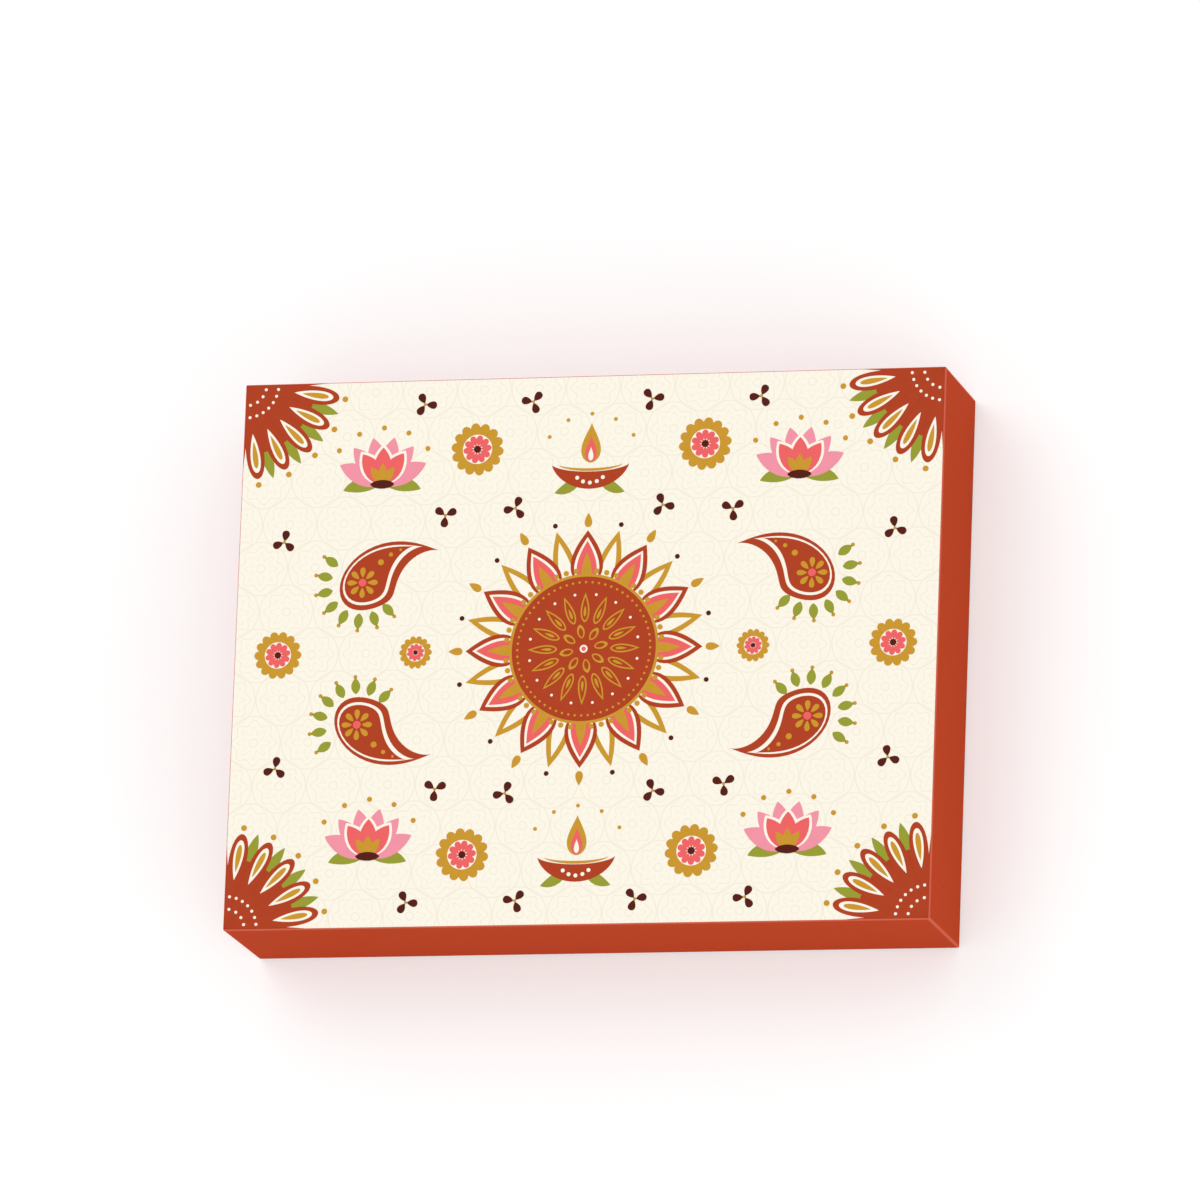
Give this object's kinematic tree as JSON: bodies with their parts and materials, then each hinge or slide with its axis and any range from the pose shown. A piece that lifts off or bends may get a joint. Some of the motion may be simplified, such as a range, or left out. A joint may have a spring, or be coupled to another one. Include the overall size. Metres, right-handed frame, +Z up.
{
  "type": "sweet box",
  "caption": "Rigid paper-wrapped sweet box with a printed full-depth lift-off lid and a slotted card partition that divides the tray inside.",
  "frame": {"origin": "middle of the underside of the base", "axes": "+X along the box to its right end, +Y to its back, +Z up out of the tray"},
  "size_m": [0.2286, 0.1778, 0.0444],
  "materials": {
    "printed_wrap": "matt laminated print",
    "red_wrap": "matt laminated print",
    "greyboard": "uncoated pulp board",
    "lining_paper": "greaseproof",
    "stay_paper": "gummed kraft",
    "partition_card": "metallised on both faces"
  },
  "bodies": {
    "base": {"base_wrap": "red_wrap", "base_board": "greyboard", "base_lining": "lining_paper", "base_stay_back_right": "stay_paper", "base_stay_back_left": "stay_paper", "base_stay_front_left": "stay_paper", "base_stay_front_right": "stay_paper", "long_divider_1": "partition_card", "long_divider_2": "partition_card", "cross_divider_1": "partition_card", "cross_divider_2": "partition_card", "cross_divider_3": "partition_card"},
    "lid": {"lid_wrap": "printed_wrap", "lid_board": "greyboard", "lid_lining": "lining_paper", "lid_stay_back_right": "stay_paper", "lid_stay_back_left": "stay_paper", "lid_stay_front_left": "stay_paper", "lid_stay_front_right": "stay_paper"}
  },
  "joints": [
    {"name": "lid_lift", "type": "slide", "parent": "base", "child": "lid", "axis": [0, 0, 1], "range_m": [0, 0.1]}
  ]
}
